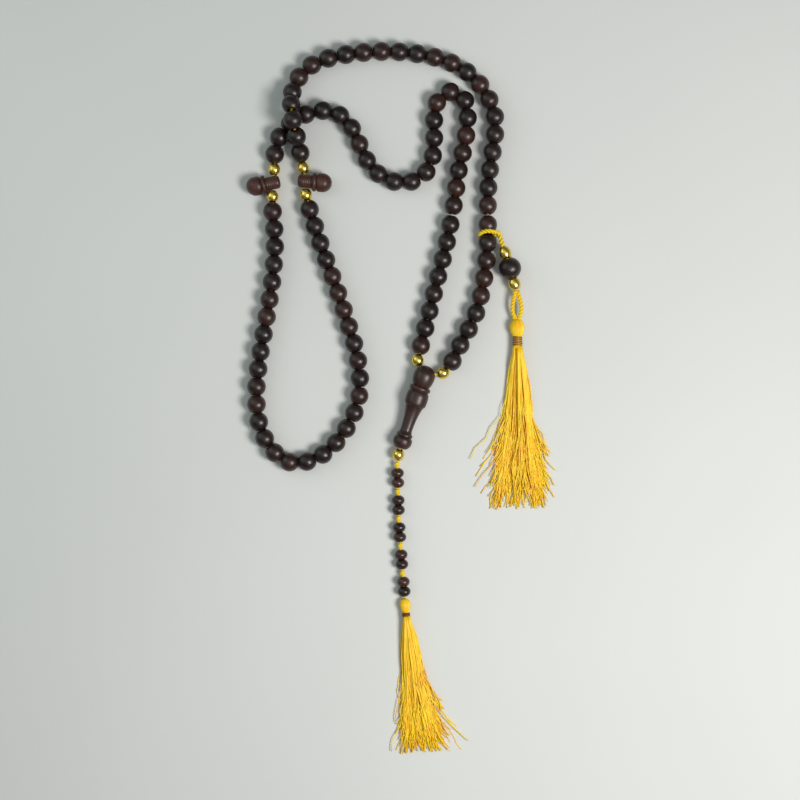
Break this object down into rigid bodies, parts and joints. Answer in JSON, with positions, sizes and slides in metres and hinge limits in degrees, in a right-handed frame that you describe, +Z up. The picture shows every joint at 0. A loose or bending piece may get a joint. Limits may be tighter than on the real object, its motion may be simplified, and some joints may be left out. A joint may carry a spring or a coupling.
{
  "type": "misbaha prayer beads",
  "caption": "Misbaha of dark wooden beads with two knobbed dividers, gold accent beads, a turned imame, counter beads, silk tassels and a clip-on marker, lying flat.",
  "frame": {"origin": "on the table under the middle of the bounding box", "axes": "+Z up from the table, +Y from the tail tassel towards the top of the loop, +X to the side the marker hangs on"},
  "size_m": [0.13, 0.302, 0.0165],
  "materials": {
    "dark_wood": "satin",
    "red_wood": "matte",
    "imame_wood": "satin",
    "gold": "polished",
    "yellow_cord": "matte",
    "yellow_silk": "satin",
    "copper_thread": "satin"
  },
  "bodies": {
    "strand": {"cord_inner": "yellow_cord", "cord_outer": "yellow_cord", "inner_beads_1": "dark_wood", "inner_beads_2": "dark_wood", "inner_beads_3": "dark_wood", "inner_beads_4": "dark_wood", "inner_beads_5": "dark_wood", "outer_beads_1": "dark_wood", "outer_beads_2": "dark_wood", "outer_beads_3": "dark_wood", "outer_beads_4": "dark_wood"},
    "middle_loop": {"middle_beads_1": "dark_wood", "middle_beads_2": "dark_wood", "middle_beads_3": "dark_wood", "middle_beads_4": "dark_wood", "middle_beads_5": "dark_wood", "middle_beads_6": "dark_wood", "cord_middle": "yellow_cord"},
    "imame_loop": {"inner_beads_6": "dark_wood", "inner_beads_7": "dark_wood", "outer_beads_5": "dark_wood", "outer_beads_6": "dark_wood", "cord_inner_fold": "yellow_cord", "cord_outer_fold": "yellow_cord", "marker_ring": "yellow_cord"},
    "divider_left": {"divider_left": "red_wood"},
    "divider_right": {"divider_right": "red_wood"},
    "imame": {"imame": "imame_wood", "imame_cord": "yellow_cord", "cord_imame_to_tail": "yellow_cord"},
    "tail": {"tail_cord": "yellow_cord"},
    "counter_1": {"counter_1": "red_wood"},
    "counter_2": {"counter_2": "red_wood"},
    "counter_3": {"counter_3": "red_wood"},
    "counter_4": {"counter_4": "red_wood"},
    "counter_5": {"counter_5": "red_wood"},
    "counter_6": {"counter_6": "red_wood"},
    "counter_7": {"counter_7": "red_wood"},
    "counter_8": {"counter_8": "red_wood"},
    "counter_9": {"counter_9": "red_wood"},
    "counter_10": {"counter_10": "red_wood"},
    "tail_tassel": {"tail_tassel_head": "yellow_silk", "tail_tassel_binding": "copper_thread", "tail_tassel_skirt": "yellow_silk"},
    "marker": {"marker_rope": "yellow_cord"},
    "marker_beads": {"gold_marker_upper": "gold", "marker_bead": "dark_wood", "gold_marker_lower": "gold"},
    "marker_tassel": {"marker_eye": "yellow_cord", "marker_tassel_head": "yellow_silk", "marker_tassel_binding": "copper_thread", "marker_tassel_skirt": "yellow_silk"},
    "gold_left_upper": {"gold_left_upper": "gold"},
    "gold_right_upper": {"gold_right_upper": "gold"},
    "gold_left_lower": {"gold_left_lower": "gold"},
    "gold_right_lower": {"gold_right_lower": "gold"},
    "gold_left_imame": {"gold_left_imame": "gold"},
    "gold_right_imame": {"gold_right_imame": "gold"},
    "gold_tail": {"gold_tail": "gold"}
  },
  "joints": [
    {"name": "middle_loop_fold", "type": "hinge", "parent": "strand", "child": "middle_loop", "pos_m": [-0.05372, 0.08585, 0.00407], "axis": [-0.9987, -0.0506, 0], "range_deg": [0, 95]},
    {"name": "imame_loop_fold", "type": "hinge", "parent": "strand", "child": "imame_loop", "pos_m": [0.02263, 0.08197, 0.00407], "axis": [-1, -0.0045, 0], "range_deg": [0, 90]},
    {"name": "divider_left_turn", "type": "hinge", "parent": "strand", "child": "divider_left", "pos_m": [-0.05362, 0.09155, 0.00407], "axis": [-0.1014, -0.9949, 0], "range_deg": [-55, 0]},
    {"name": "divider_right_turn", "type": "hinge", "parent": "strand", "child": "divider_right", "pos_m": [-0.04002, 0.09225, 0.00407], "axis": [-0.1396, 0.9902, 0], "range_deg": [-90, 0]},
    {"name": "imame_fold", "type": "hinge", "parent": "imame_loop", "child": "imame", "pos_m": [0.00747, 0.01679, 0.00407], "axis": [-0.8917, 0.4525, 0], "range_deg": [0, 90]},
    {"name": "tail_swing", "type": "hinge", "parent": "imame", "child": "tail", "pos_m": [-0.00071, -0.02308, 0.00384], "axis": [0, 0, 1], "range_deg": [-25, 25]},
    {"name": "tail_tassel_swing", "type": "hinge", "parent": "tail", "child": "tail_tassel", "pos_m": [0.00197, -0.08377, 0.00281], "axis": [0, 0, 1], "range_deg": [-20, 20]},
    {"name": "counter_1_slide", "type": "slide", "parent": "tail", "child": "counter_1", "axis": [-0.0562, 0.9958, 0.0716], "range_m": [0, 0.0004]},
    {"name": "counter_2_slide", "type": "slide", "parent": "tail", "child": "counter_2", "axis": [-0.0222, 0.9992, 0.0324], "range_m": [-0.0004, 0]},
    {"name": "counter_3_slide", "type": "slide", "parent": "tail", "child": "counter_3", "axis": [-0.0208, 0.9997, -0.0084], "range_m": [0, 0.0004]},
    {"name": "counter_4_slide", "type": "slide", "parent": "tail", "child": "counter_4", "axis": [-0.0296, 0.9995, -0.0097], "range_m": [-0.0004, 0]},
    {"name": "counter_5_slide", "type": "slide", "parent": "tail", "child": "counter_5", "axis": [-0.0588, 0.9983, 0], "range_m": [0, 0.0004]},
    {"name": "counter_6_slide", "type": "slide", "parent": "tail", "child": "counter_6", "axis": [-0.0699, 0.9976, 0], "range_m": [-0.0004, 0]},
    {"name": "counter_7_slide", "type": "slide", "parent": "tail", "child": "counter_7", "axis": [-0.0748, 0.9972, 0], "range_m": [0, 0.0004]},
    {"name": "counter_8_slide", "type": "slide", "parent": "tail", "child": "counter_8", "axis": [-0.0794, 0.9968, 0], "range_m": [-0.0004, 0]},
    {"name": "counter_9_slide", "type": "slide", "parent": "tail", "child": "counter_9", "axis": [-0.0846, 0.9964, 0], "range_m": [0, 0.0004]},
    {"name": "counter_10_slide", "type": "slide", "parent": "tail", "child": "counter_10", "axis": [-0.0854, 0.9963, 0], "range_m": [-0.0004, 0]},
    {"name": "marker_swing", "type": "hinge", "parent": "imame_loop", "child": "marker", "pos_m": [0.04202, 0.06932, 0.00407], "axis": [0, 0, 1], "range_deg": [-4, 40]},
    {"name": "marker_beads_slide", "type": "slide", "parent": "marker", "child": "marker_beads", "axis": [-0.2924, 0.9563, 0], "range_m": [0, 0.002]},
    {"name": "marker_tassel_swing", "type": "hinge", "parent": "marker", "child": "marker_tassel", "pos_m": [0.04907, 0.04627, 0.00487], "axis": [0, 0, 1], "range_deg": [-12, 12]},
    {"name": "gold_left_upper_turn", "type": "hinge", "parent": "strand", "child": "gold_left_upper", "pos_m": [-0.05303, 0.09721, 0.00407], "axis": [0.0884, 0.9961, 0], "continuous": true},
    {"name": "gold_right_upper_turn", "type": "hinge", "parent": "strand", "child": "gold_right_upper", "pos_m": [-0.04081, 0.09789, 0.00407], "axis": [-0.1596, 0.9872, 0], "continuous": true},
    {"name": "gold_left_lower_turn", "type": "hinge", "parent": "strand", "child": "gold_left_lower", "pos_m": [-0.05372, 0.08585, 0.00407], "axis": [-0.0102, -0.9999, 0], "continuous": true},
    {"name": "gold_right_lower_turn", "type": "hinge", "parent": "strand", "child": "gold_right_lower", "pos_m": [-0.03967, 0.08656, 0.00407], "axis": [-0.1204, 0.9927, 0], "continuous": true},
    {"name": "gold_left_imame_turn", "type": "hinge", "parent": "imame_loop", "child": "gold_left_imame", "pos_m": [0.00747, 0.01679, 0.00407], "axis": [0.0797, -0.9968, 0], "continuous": true},
    {"name": "gold_right_imame_turn", "type": "hinge", "parent": "imame_loop", "child": "gold_right_imame", "pos_m": [0.01818, 0.01136, 0.00407], "axis": [-0.8555, -0.5178, 0], "continuous": true},
    {"name": "gold_tail_turn", "type": "hinge", "parent": "imame", "child": "gold_tail", "pos_m": [-0.00071, -0.02308, 0.00384], "axis": [-0.2428, -0.9578, -0.1538], "continuous": true}
  ]
}
